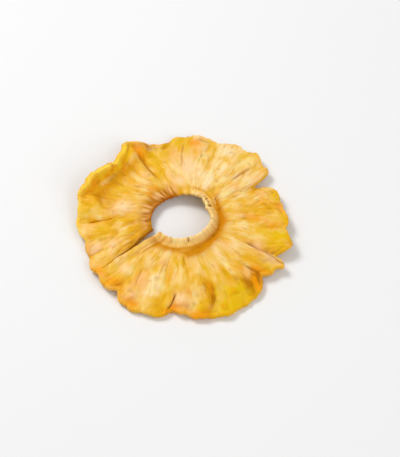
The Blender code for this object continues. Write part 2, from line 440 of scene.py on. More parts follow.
@dataclass(frozen=True)
class FibreRelief:
    """The small relief of dried flesh: fibre bundles, puckers, pits and splits along the fibres."""

    sway: tuple[tuple[FibreNoise, float], ...] = (
        (FibreNoise(21, 14, 4), 2.2),
        (FibreNoise(22, 46, 9), 0.7),
    )
    puckers: tuple[Layer, ...] = (
        Layer(FibreNoise(31, 32, 5), FibreNoise(34, 9, 3), 0.44 * MM, 0.5),
        Layer(FibreNoise(32, 62, 8), FibreNoise(35, 17, 5), 0.30 * MM, 0.4),
    )
    bundles: tuple[Layer, ...] = (
        Layer(FibreNoise(41, 104, 6), FibreNoise(44, 23, 5), 0.17 * MM, 0.2),
        Layer(FibreNoise(42, 186, 9), FibreNoise(45, 40, 8), 0.14 * MM, 0.35),
        Layer(FibreNoise(43, 320, 15), FibreNoise(46, 60, 9), 0.08 * MM, 0.7),
    )
    bundle_roundness: float = 0.7
    patch_level: float = 0.65
    patch_contrast: float = 0.9
    inner_height: float = 0.25
    seam: FibreNoise = FibreNoise(42, 186, 9)
    seam_patches: FibreNoise = FibreNoise(47, 90, 14)
    seam_patch_level: float = 0.1
    seam_patch_contrast: float = 2.0
    seam_width: float = 0.10
    pits: FibreNoise = FibreNoise(51, 84, 12)
    pit_level: float = 0.66
    pit_depth: float = 1.1 * MM
    cracks: tuple[Crack, ...] = table(
        Crack,
        (64, -0.02, 0.05, 0.70, 0.32, 0), (172, 0.02, 0.08, 0.90, 0.42, 0),
        (181, 0.02, 0.07, 0.90, 0.40, 0), (190, 0.02, 0.08, 0.90, 0.42, 0),
        (21, 0.50, 0.78, 0.35, 0.30, 3), (36, 0.28, 0.52, 0.25, 0.25, -2),
        (48, 0.72, 0.98, 0.9, 0.38, -2), (69, 0.55, 0.72, 0.25, 0.25, 3),
        (104, 0.66, 1.02, 0.7, 0.40, 3), (118, 0.48, 1.02, 0.9, 0.42, -4),
        (141, 0.35, 0.50, 0.25, 0.25, 2), (187, 0.48, 0.84, 0.55, 0.32, -3),
        (209, 0.60, 0.76, 0.25, 0.25, 3), (234, 0.42, 0.90, 0.50, 0.28, -1),
        (265, 0.28, 0.86, 0.45, 0.60, -4), (288, 0.30, 0.46, 0.30, 0.28, 2),
        (327, 0.46, 0.86, 0.45, 0.32, 2),
    )
    crack_fade: float = 2.2
    pale_from: float = 0.25
    golden_from: float = 0.42
    pale_by_turn: Stations = Stations.of(
        (0, 0.35), (30, 0.60), (60, 0.50), (90, 0.35), (120, 0.35), (150, 0.30), (175, 0.60),
        (205, 1.15), (235, 0.85), (262, 0.30), (290, 0.20), (330, 0.05), (360, 0.35),
    )
    golden_rim_by_turn: Stations = Stations.of(
        (0, 0.40), (30, 0.25), (48, 0.60), (60, 1.30), (80, 2.70), (95, 2.20), (110, 1.20), (128, 1.20),
        (145, 0.60), (160, 0.60), (173, 0.20), (187, 0.80), (205, -0.30), (220, 0.40), (240, 1.70),
        (254, 1.60), (270, 0.80), (300, 0.50), (322, -0.10), (340, 0.60), (360, 0.40),
    )
    blotches: tuple[tuple[FibreNoise, float], ...] = (
        (FibreNoise(71, 22, 3), 0.45),
        (FibreNoise(72, 58, 7), 0.40),
    )

    def swayed(self, turn: Array, share: Array) -> Array:
        """Turns as the swaying fibres carry them.

        Args:
            turn: Degrees around the hole.
            share: Way from the hole to the rim, 0 to 1.

        Returns:
            Degrees around the hole.
        """
        for noise, degrees in self.sway:
            turn = turn + degrees * noise.at(turn, share)
        return turn

    def layered(self, layers: tuple[Layer, ...], turn: Array, share: Array) -> Array:
        """Sum of some layers of fibre bundles.

        Args:
            layers: The layers to sum.
            turn: Degrees around the hole, as swayed.
            share: Way from the hole to the rim, 0 to 1.

        Returns:
            Metres upward.
        """
        total = np.zeros_like(turn)
        for layer in layers:
            rounded = 2 * np.abs(layer.noise.at(turn, share)) ** self.bundle_roundness - 1
            patchy = smooth(self.patch_level + self.patch_contrast * layer.patches.at(turn, share))
            way = self.inner_height + (1 - self.inner_height) * share / layer.full_from
            total = total + layer.height * rounded * patchy * smooth(way)
        return total

    def seams(self, turn: Array, share: Array) -> Array:
        """Where the dark seams between some fibre bundles lie.

        Args:
            turn: Degrees around the hole, as swayed.
            share: Way from the hole to the rim, 0 to 1.

        Returns:
            From 0 beside the seams to 1 on them.
        """
        patchy = self.seam_patches.at(turn, share) - self.seam_patch_level
        patchy = smooth(self.seam_patch_contrast * patchy)
        return patchy * bell(self.seam.at(turn, share) / self.seam_width)

    def paleness(self, turn: Array, share: Array) -> Array:
        """How pale and creamy the flesh is, against golden.

        Args:
            turn: Degrees around the hole.
            share: Way from the hole to the rim, 0 to 1.

        Returns:
            From about -1 for golden to 1 for cream.
        """
        pale = self.pale_by_turn.at(turn) * smooth(share / self.pale_from)
        golden = smooth((share - self.golden_from) / (1 - self.golden_from))
        pale = pale - self.golden_rim_by_turn.at(turn) * golden
        for noise, size in self.blotches:
            pale = pale + size * noise.at(turn, share)
        return pale

    def splits(self, turn: Array, share: Array, radius: Array) -> Array:
        """How deep the cracks and pits go.

        Args:
            turn: Degrees around the hole.
            share: Way from the hole to the rim, 0 to 1.
            radius: Distance from the hole's centre.

        Returns:
            Metres downward.
        """
        swayed = self.swayed(turn, share)
        depth = self.pit_depth * np.maximum(self.pits.at(swayed, share) - self.pit_level, 0)
        for crack in self.cracks:
            way = (share - crack.inner) / (crack.outer - crack.inner)
            aside = radius * np.radians(turned(swayed, crack.turn + crack.drift * (way - 0.5)))
            fade = smooth(self.crack_fade * (1 - np.abs(2 * way - 1)))
            depth = np.maximum(depth, crack.depth * bell(aside / crack.width) * fade)
        return depth


class Mark(Enum):
    """What the mesh tells the finish at each of its points, by the name of the attribute."""

    GRAIN = "grain"
    SHARE = "share"
    # Heights of the relief, which the finish also uses for painted shade in valleys and creases and paler
    # crests
    BUNDLE = "bundle"
    PUCKER = "pucker"
    FOLD = "fold"
    SEAM = "seam"
    # Painted shade in the cracks and pits, darker the deeper they go
    SPLIT_SHADE = "split"
    PALE = "pale"
    # Cream on the lip's top and the slit's ridge: partly the pale cut core, partly painted highlight where
    # the top faces the light
    LIP_TOP_AND_HIGHLIGHT = "lip_top"
    LIP_SIDE = "lip_side"
    # Amber of the groove: partly the groove's sugary colour, partly painted shade where the lip shades it
    GROOVE_AND_SHADE = "groove"
    # Painted shade: brown-orange on the turned-down edge of the hole, which faces away from the light
    ROLL_SHADE = "rolled"
    CRIMP = "crimp"
    # Painted shade: dark brown right at the turned-down edge of the hole
    EDGE_SHADE = "edge"
    # Painted shade: dark brown at the far edge of the slit, standing in for the shadowed gap
    SLIT_SHADE = "slit_shade"
    # Painted shade: amber on the far flap where it slopes down into the slit
    SLIT_FLANK_SHADE = "slit_flank_shade"
    RIM = "rim"
    STRIP = "strip"
    # Painted shade in the hollow inside the curled rim
    CURL_SHADE = "curl_shade"
    BRIM = "brim"
    ORANGE = "orange"
    # Pale pinkish spots: partly pale patches of the flesh, partly painted highlight on bumps and folds
    ROSE_AND_HIGHLIGHT = "rose_and_highlight"
    CITRUS = "citrus"


class Spot(NamedTuple):
    """A spot of another hue: where it lies, and how far it reaches around the hole and along the fibres."""

    turn: float
    share: float
    around: float
    along: float
    lengths = ("around", "along")


@dataclass
class SheetGrid:
    """Where the mesh's columns and rows lie on the sheet."""

    columns: int = 840
    column_crowding: float = 0.35
    column_crowds: int = 2
    rows: int = 55
    row_crowding: float = 0.78
    row_crowds: int = 1
    slit_share: float = SlicePlan.slit_share
    turn: Array = field(init=False)
    share: Array = field(init=False)
    slit_row: int = field(init=False)

    def __post_init__(self) -> None:
        """Lay out the columns and the rows."""
        columns, rows = np.linspace(0, 1, self.columns + 1), np.linspace(0, 1, self.rows + 1)
        turns = 360 * self.crowded(columns, self.column_crowding, self.column_crowds)
        shares = self.crowded(rows, self.row_crowding, self.row_crowds)
        self.turn, self.share = np.meshgrid(turns, shares, indexing="ij")
        self.slit_row = int(np.searchsorted(shares, self.slit_share))

    @staticmethod
    def crowded(way: Array, crowding: float, crowds: int) -> Array:
        """Ease an even way from 0 to 1 so that it runs slower around the start of each crowd.

        Args:
            way: The even way.
            crowding: How much slower, 0 to 1.
            crowds: How many crowds there are along the way.

        Returns:
            The eased way.
        """
        phase = 2 * math.pi * crowds
        return way - crowding * np.sin(phase * way) / phase

    def faces(self) -> Array:
        """Join the points of the closed sheet, of which the top's come first, then the underside's.

        Returns:
            The four corners of each face.
        """
        top = np.arange(self.turn.size).reshape(self.turn.shape)
        top[-1, self.slit_row :] = top[0, self.slit_row :]
        under = top + self.turn.size
        squares = self.strip(top[:-1, :-1], top[:-1, 1:], top[1:, 1:], top[1:, :-1])
        backs = self.strip(under[:-1, :-1], under[1:, :-1], under[1:, 1:], under[:-1, 1:])
        slit = slice(0, self.slit_row + 1)
        walls = [
            self.wall(top[:, -1], under[:, -1]),
            self.wall(top[::-1, 0], under[::-1, 0]),
            self.wall(top[0, slit], under[0, slit]),
            self.wall(top[-1, slit][::-1], under[-1, slit][::-1]),
        ]
        return np.concatenate([squares, backs, *walls])

    @staticmethod
    def strip(*corners: Array) -> Array:
        """Join arrays of corners into faces."""
        return np.stack([corner.ravel() for corner in corners], axis=1)

    @classmethod
    def wall(cls, top: Array, under: Array) -> Array:
        """Faces that close an edge which has the sheet on its left.

        Args:
            top: The top's points along the edge.
            under: The underside's points along the edge.

        Returns:
            The faces.
        """
        return cls.strip(under[:-1], under[1:], top[1:], top[:-1])


@dataclass(frozen=True)
class Rounding:
    """How an edge of the sheet thins out: over which distance, and to which part of the thickness."""

    reach: float
    thinnest: float
    squareness: float = 2.6

    def at(self, distance: Array) -> Array:
        """Part of the thickness left at a distance from the edge."""
        inset = 1 - np.clip(distance / self.reach, 0, 1)
        return self.thinnest + (1 - self.thinnest) * (1 - inset**self.squareness) ** (1 / self.squareness)


class Band(NamedTuple):
    """A band along an edge: how far from the edge its middle lies, and its reach to either side."""

    middle: float
    reach: float

    def at(self, away: Array) -> Array:
        """Give 1 in the middle of the band, falling to near 0 beside it."""
        return bell((away - self.middle) / self.reach)


@dataclass(frozen=True)
class Zones:
    """Where the colours of the flesh lie, among them painted shade and painted highlight: how far they are
    from the hole, the slit and the rim.
    """

    standing_full: float = 1.5 * MM
    rolled_full: float = 2.0 * MM
    # Cream top of the lip, partly painted highlight
    lip_top: Band = Band(0.0, 1.4 * MM)
    lip_side: Band = Band(1.9 * MM, 0.9 * MM)
    lip_foot: Band = Band(3.3 * MM, 0.6 * MM)
    lip_foot_share: float = 0.6
    groove_outset: float = 0.5 * MM
    groove_reaches: Stations = Stations.of(
        (0, 1.3), (50, 1.4), (62, 2.1), (84, 2.3), (130, 2.2), (165, 1.5), (200, 1.2), (360, 1.3),
        unit=MM,
    )
    # Strongest on the right and lower right, where the groove paint also stands for the lip's shade as
    # painted shade
    groove_by_turn: Stations = Stations.of(
        (0, 0.50), (40, 0.80), (50, 0.70), (62, 1.30), (82, 1.45), (100, 1.35), (120, 1.25),
        (145, 1.30), (172, 1.00), (190, 0.50), (210, 0.10), (240, 0.00), (350, 0.00), (360, 0.50),
    )
    lip_cream_by_turn: Stations = Stations.of(
        (0, 0.25), (18, 0.35), (32, 0.90), (75, 1.00), (125, 0.90), (150, 0.65), (175, 0.90),
        (205, 0.80), (235, 0.60), (360, 0.25),
    )
    orange_spots: tuple[Spot, ...] = table(
        Spot,
        (0.5, 0.95, 2.0, 1.6), (10, 0.90, 3.2, 2.8), (27, 0.93, 2.6, 1.4), (49, 0.95, 3.6, 1.8),
        (64, 0.97, 4.0, 1.6), (105, 0.84, 1.4, 2.6), (226, 0.86, 2.6, 2.0), (263, 0.82, 2.4, 2.6),
        (279, 0.83, 2.4, 2.0), (292, 0.87, 2.6, 1.5), (304, 0.90, 3.4, 2.2),
    )
    # Pale pinkish spots, partly painted highlight on ridges and bumps
    rose_and_highlight_spots: tuple[Spot, ...] = table(
        Spot,
        (8, 0.65, 2.2, 2.2), (52, 0.80, 2.4, 3.0), (116, 0.86, 2.4, 3.4), (119, 0.66, 2.4, 3.0),
        (230, 0.45, 3.0, 5.0), (242, 0.20, 2.2, 2.2), (316, 0.40, 2.6, 4.0), (345, 0.85, 1.8, 4.0),
        (349, 0.60, 2.0, 2.4),
    )
    citrus_spots: tuple[Spot, ...] = table(
        Spot,
        (80, 0.75, 2.4, 3.2), (86, 0.90, 3.0, 2.2), (117, 0.95, 2.2, 2.4), (128, 0.74, 2.2, 3.4),
        (145, 0.94, 2.4, 2.4), (213, 0.50, 1.8, 3.0), (231, 0.73, 2.8, 2.4), (246, 0.72, 2.8, 2.4),
        (267, 0.32, 1.8, 2.2), (284, 0.58, 2.0, 3.0), (302, 0.58, 2.2, 2.2), (336, 0.72, 2.6, 2.4),
    )
    ridge_end: float = 0.35
    ridge_ease: float = 0.35
    # Painted shade over the turned-down edge of the hole
    rolled: Band = Band(2.4 * MM, 2.2 * MM)
    # Painted shade right at the turned-down edge of the hole
    edge: Band = Band(0.0, 1.5 * MM)
    crimp: Band = Band(2.8 * MM, 1.6 * MM)
    crimp_level: float = 0.40
    crimp_contrast: float = 1.8
    # Painted shade along the far edge of the slit
    slit_shade_power: float = 1.2
    slit_shade: Band = Band(0.0, 1.3 * MM)
    # Painted shade on the far flap beside the slit
    slit_flank_shade: Band = Band(0.0, 3.8 * MM)
    rim: Band = Band(0.0, 1.3 * MM)
    brim: Band = Band(0.0, 1.2 * MM)
    brim_by_turn: Stations = Stations.of(
        (0, 0.00), (255, 0.00), (262, 0.90), (275, 0.40), (290, 0.90), (330, 0.80), (345, 0.00),
        (360, 0.00),
    )
    rim_by_turn: Stations = Stations.of(
        (0, 0.80), (30, 0.80), (185, 1.00), (200, 0.10), (240, 0.10), (255, 1.00), (300, 0.50),
        (330, 0.30), (350, 1.00), (360, 0.80),
    )
    strip_from: float = 0.80
    strip_ease: float = 0.06
    # Where the painted shade inside the curl lies, in shares from the hole
    curl_shade_in_shares: Band = Band(0.70, 0.08)
    top_only: tuple[Mark, ...] = (
        Mark.STRIP, Mark.CURL_SHADE, Mark.BRIM, Mark.GROOVE_AND_SHADE,
        Mark.LIP_TOP_AND_HIGHLIGHT, Mark.LIP_SIDE, Mark.SLIT_SHADE, Mark.SLIT_FLANK_SHADE,
    )
    underside: float = 0.25
    bundle_unit: float = 0.25 * MM
    pucker_unit: float = 0.30 * MM
    fold_unit: float = 0.60 * MM

    @staticmethod
    def spotted(spots: tuple[Spot, ...], turn: Array, share: Array, radius: Array, band: Array) -> Array:
        """Where the spots of one hue lie.

        Args:
            spots: The spots.
            turn: Degrees around the hole, as swayed.
            share: Way from the hole to the rim, 0 to 1.
            radius: Distance from the hole's centre.
            band: Distance from the hole to the rim.

        Returns:
            0 outside the spots, to 1 in the middle of one.
        """
        total = np.zeros_like(turn)
        for spot in spots:
            aside = radius * np.radians(turned(turn, spot.turn)) / spot.around
            total = total + bell(np.hypot(aside, (share - spot.share) * band / spot.along))
        return total

    def at_lip(self, standing: Array, away: Array) -> dict[Mark, Array]:
        """The zones of the lip that stands along a cut edge.

        Args:
            standing: How much of a lip there is, 0 to 1.
            away: Distance from the cut edge.

        Returns:
            From 0 to 1, by mark.
        """
        return {
            Mark.LIP_TOP_AND_HIGHLIGHT: standing * self.lip_top.at(away),
            Mark.LIP_SIDE: standing * self.lip_side.at(away),
            # The lip's foot takes the groove's amber, partly as painted shade
            Mark.GROOVE_AND_SHADE: standing * self.lip_foot_share * self.lip_foot.at(away),
        }


Input = bpy.types.NodeSocket | float


class Streaks(NamedTuple):
    """Noise drawn out along the fibres: cells to the metre across and along them, octaves, distortion."""

    across: float
    along: float
    detail: float = 2.0
    twist: float = 0.0


@dataclass
class Paintbox:
    """A material's node tree, with a short way to add each kind of node that the finish needs."""

    material: bpy.types.Material
    patch_contrast: float = 4.0
    nodes: bpy.types.Nodes = field(init=False)
    links: bpy.types.NodeLinks = field(init=False)

    def __post_init__(self) -> None:
        """Open the material's node tree."""
        self.material.use_nodes = True
        self.nodes, self.links = self.material.node_tree.nodes, self.material.node_tree.links

    def feed(self, socket: bpy.types.NodeSocket, value: Input | Colour) -> None:
        """Link a socket, or set its own value.

        Args:
            socket: The socket to feed.
            value: A socket to link from, a number, or a colour.
        """
        if isinstance(value, bpy.types.NodeSocket):
            self.links.new(value, socket)
        elif isinstance(value, tuple):
            socket.default_value = (*value, 1)
        else:
            socket.default_value = value

    def mark(self, mark: Mark, output: str = "Fac") -> bpy.types.NodeSocket:
        """Read one of the mesh's marks.

        Args:
            mark: The mark.
            output: The output to read it from: one number, or a vector.

        Returns:
            Its value.
        """
        node = self.nodes.new("ShaderNodeAttribute")
        node.attribute_name = mark.value
        return node.outputs[output]

    def sum(self, *terms: tuple[Input, float]) -> bpy.types.NodeSocket:
        """Add up some values, each times its weight.

        Args:
            terms: Pairs of a value and its weight.

        Returns:
            The sum.
        """
        total: Input = 0.0
        for value, weight in terms:
            node = self.nodes.new("ShaderNodeMath")
            node.operation = "MULTIPLY_ADD"
            for socket, part in zip(node.inputs, (value, weight, total)):
                self.feed(socket, part)
            total = node.outputs[0]
        return total

    def times(self, a: Input, b: Input) -> bpy.types.NodeSocket:
        """Multiply two values.

        Args:
            a: The first value.
            b: The second value.

        Returns:
            The result, kept from 0 to 1.
        """
        node = self.nodes.new("ShaderNodeMath")
        node.operation, node.use_clamp = "MULTIPLY", True
        self.feed(node.inputs[0], a)
        self.feed(node.inputs[1], b)
        return node.outputs[0]

    def mix(self, share: Input, a: Input | Colour, b: Input | Colour) -> bpy.types.NodeSocket:
        """Mix two colours.

        Args:
            share: How much of the second, 0 to 1.
            a: The first colour.
            b: The second colour.

        Returns:
            The mixed colour.
        """
        node = self.nodes.new("ShaderNodeMix")
        node.data_type = "RGBA"
        inputs = (socket for socket in node.inputs if socket.enabled)
        for socket, value in zip(inputs, (share, a, b)):
            self.feed(socket, value)
        return next(socket for socket in node.outputs if socket.enabled)

    def streaks(self, streaks: Streaks) -> bpy.types.NodeSocket:
        """Noise drawn out along the fibres.

        Args:
            streaks: How fine and how uneven it is.

        Returns:
            Values from 0 to 1, about 0.5.
        """
        stretch = self.nodes.new("ShaderNodeMapping")
        stretch.inputs["Scale"].default_value = (streaks.across, streaks.across, streaks.along)
        self.links.new(self.mark(Mark.GRAIN, "Vector"), stretch.inputs["Vector"])
        node = self.nodes.new("ShaderNodeTexNoise")
        node.inputs["Scale"].default_value = 1.0
        node.inputs["Detail"].default_value = streaks.detail
        node.inputs["Distortion"].default_value = streaks.twist
        self.links.new(stretch.outputs[0], node.inputs["Vector"])
        return node.outputs["Fac"]

    def patches(self, streaks: Streaks, level: float) -> bpy.types.NodeSocket:
        """Soft patches where a noise stands above a level.

        Args:
            streaks: The noise.
            level: The level, about 0.5.

        Returns:
            From 0 outside the patches to about 0.6 inside.
        """
        return self.times(self.sum((self.streaks(streaks), 1.0), (1.0, -level)), self.patch_contrast)

    def ramp(self, place: Input, stops: tuple[tuple[float, Colour], ...]) -> bpy.types.NodeSocket:
        """Run through some colours.

        Args:
            place: Where on the ramp, 0 to 1.
            stops: The place and the colour of each stop.

        Returns:
            The colour.
        """
        node = self.nodes.new("ShaderNodeValToRGB")
        elements = node.color_ramp.elements
        elements.remove(elements[1])
        elements[0].position, elements[0].color = stops[0][0], (*stops[0][1], 1)
        for position, colour in stops[1:]:
            elements.new(position).color = (*colour, 1)
        self.feed(node.inputs[0], place)
        return node.outputs["Color"]


class Patch(NamedTuple):
    """Patches of one colour: their noise, how rare they are, and what cream does to them."""

    streaks: Streaks
    level: float
    on_cream: float
    colour: Colour


class Paint(NamedTuple):
    """A colour laid on where a mark is strong, how strongly, and whether only in spots."""

    mark: Mark
    strength: float
    colour: Colour
    spots: bool = False


@dataclass(frozen=True)
class DriedFlesh:
    """The finish of dried pineapple: golden, fibrous, slightly waxy and a little see-through."""

    flesh: tuple[tuple[float, Colour], ...] = (
        (0.00, srgb(188, 118, 0)),
        (0.18, srgb(214, 150, 8)),
        (0.36, srgb(232, 173, 32)),
        (0.54, srgb(238, 186, 70)),
        (0.74, srgb(243, 202, 118)),
        (1.00, srgb(250, 222, 172)),
    )
    patches: tuple[Patch, ...] = (
        Patch(Streaks(110, 90), 0.48, -0.8, srgb(232, 188, 10)),
        Patch(Streaks(150, 120), 0.53, 0.2, srgb(246, 192, 122)),
        Patch(Streaks(140, 110), 0.55, -1.0, srgb(240, 158, 4)),
        Patch(Streaks(180, 140), 0.52, 0.4, srgb(250, 222, 150)),
    )
    # Some of these paints are painted shade or painted highlight, as noted at each
    paints: tuple[Paint, ...] = (
        Paint(Mark.CITRUS, 0.55, srgb(234, 186, 26)),
        # Partly painted highlight: pale pinkish cream on bumps and folds
        Paint(Mark.ROSE_AND_HIGHLIGHT, 0.75, srgb(252, 212, 160)),
        Paint(Mark.RIM, 0.50, srgb(240, 176, 30)),
        # Painted shade on the turned-down edge of the hole
        Paint(Mark.ROLL_SHADE, 0.80, srgb(202, 126, 18)),
        Paint(Mark.CRIMP, 0.85, srgb(246, 192, 122)),
        # Painted shade at the very edge of the turned-down hole
        Paint(Mark.EDGE_SHADE, 0.90, srgb(178, 100, 6)),
        # Painted shade on the far flap sloping into the slit
        Paint(Mark.SLIT_FLANK_SHADE, 0.85, srgb(228, 162, 6)),
        # Painted shade: dark brown where the slit's gap lies in shadow
        Paint(Mark.SLIT_SHADE, 1.00, srgb(150, 86, 0)),
        Paint(Mark.LIP_SIDE, 0.85, srgb(255, 209, 118)),
        # Partly painted shade: this amber also darkens the lip's outer face on its shaded side
        Paint(Mark.GROOVE_AND_SHADE, 1.00, srgb(208, 136, 2)),
        # Partly painted highlight: cream on the top of the lip and the slit's ridge
        Paint(Mark.LIP_TOP_AND_HIGHLIGHT, 0.95, srgb(255, 222, 158)),
        # Painted shade: darker olive-amber inside the curl
        Paint(Mark.CURL_SHADE, 0.90, srgb(210, 146, 0)),
        Paint(Mark.STRIP, 0.90, srgb(255, 206, 28)),
        Paint(Mark.STRIP, 0.75, srgb(250, 160, 0), spots=True),
        Paint(Mark.BRIM, 0.70, srgb(255, 216, 92)),
        Paint(Mark.ORANGE, 0.75, srgb(244, 156, 16)),
        Paint(Mark.SEAM, 0.40, srgb(196, 130, 16)),
        # Painted shade: dark brown in cracks and pits, by their depth
        Paint(Mark.SPLIT_SHADE, 1.00, srgb(172, 104, 8)),
    )
    coarse: Streaks = Streaks(520, 170, 3, 0.3)
    fine: Streaks = Streaks(1100, 260, 3, 0.3)
    fine_outward: float = 2.5
    speckles: Streaks = Streaks(700, 700)
    spots: Streaks = Streaks(200, 170)
    spot_level: float = 0.44
    patch_strength: float = 0.9
    paint_evenness: float = 0.65
    paint_of_streak: float = 0.9
    tone_at_rest: float = 0.17
    # Paleness is the flesh's own tone; the bundle, pucker and fold heights darken valleys and creases as
    # painted shade and pale the crests as painted highlight
    tone_and_relief_shade_of_marks: tuple[tuple[Mark, float], ...] = (
        (Mark.PALE, 0.36), (Mark.BUNDLE, 0.14), (Mark.PUCKER, 0.10), (Mark.FOLD, 0.16),
    )
    tone_of_streak: float = 0.50
    tone_of_speckle: float = 0.16
    roughness: float = 0.36
    roughness_of_speckle: float = 0.25
    specular: float = 0.18
    gloss: Colour = (1.0, 0.8, 0.4)
    waxiness: float = 0.50
    glow: Colour = (1.0, 0.5, 0.18)
    glow_depth: float = 1.0 * MM
    bump_strength: float = 0.35
    bump_height: float = 0.2 * MM
    bump_of_streak: float = 1.5
    bump_of_speckle: float = 0.5

    def material(self) -> bpy.types.Material:
        """Build the material.

        Returns:
            The material.
        """
        box = Paintbox(bpy.data.materials.new("dried_flesh_finish"))
        shader = box.nodes["Principled BSDF"]
        coarse, fine = box.streaks(self.coarse), box.streaks(self.fine)
        streak = box.mix(box.times(box.mark(Mark.SHARE), self.fine_outward), coarse, fine)
        speckle = box.streaks(self.speckles)
        # Tone along the ramp, partly the flesh's own tone and partly painted shade and highlight from the
        # relief
        tone = box.sum(
            (1.0, self.tone_at_rest),
            *((box.mark(mark), weight) for mark, weight in self.tone_and_relief_shade_of_marks),
            (streak, self.tone_of_streak),
            (speckle, self.tone_of_speckle),
        )
        colour = box.ramp(tone, self.flesh)
        for patch in self.patches:
            there = box.sum((1.0, self.patch_strength), (box.mark(Mark.PALE), patch.on_cream))
            share = box.times(box.patches(patch.streaks, patch.level), there)
            colour = box.mix(share, colour, patch.colour)
        uneven = box.sum((1.0, self.paint_evenness), (streak, self.paint_of_streak))
        for paint in self.paints:
            share = box.times(box.times(box.mark(paint.mark), paint.strength), uneven)
            if paint.spots:
                share = box.times(share, box.patches(self.spots, self.spot_level))
            colour = box.mix(share, colour, paint.colour)
        roughness = box.sum((1.0, self.roughness), (speckle, self.roughness_of_speckle))
        box.feed(shader.inputs["Base Color"], colour)
        box.feed(shader.inputs["Roughness"], roughness)
        shader.inputs["Subsurface Weight"].default_value = self.waxiness
        shader.inputs["Subsurface Radius"].default_value = self.glow
        shader.inputs["Subsurface Scale"].default_value = self.glow_depth
        shader.inputs["Specular IOR Level"].default_value = self.specular
        shader.inputs["Specular Tint"].default_value = (*self.gloss, 1)
        bump = box.nodes.new("ShaderNodeBump")
        bump.inputs["Strength"].default_value = self.bump_strength
        bump.inputs["Distance"].default_value = self.bump_height
        height = box.sum((streak, self.bump_of_streak), (speckle, self.bump_of_speckle))
        box.feed(bump.inputs["Height"], height)
        box.feed(shader.inputs["Normal"], bump.outputs[0])
        return box.material


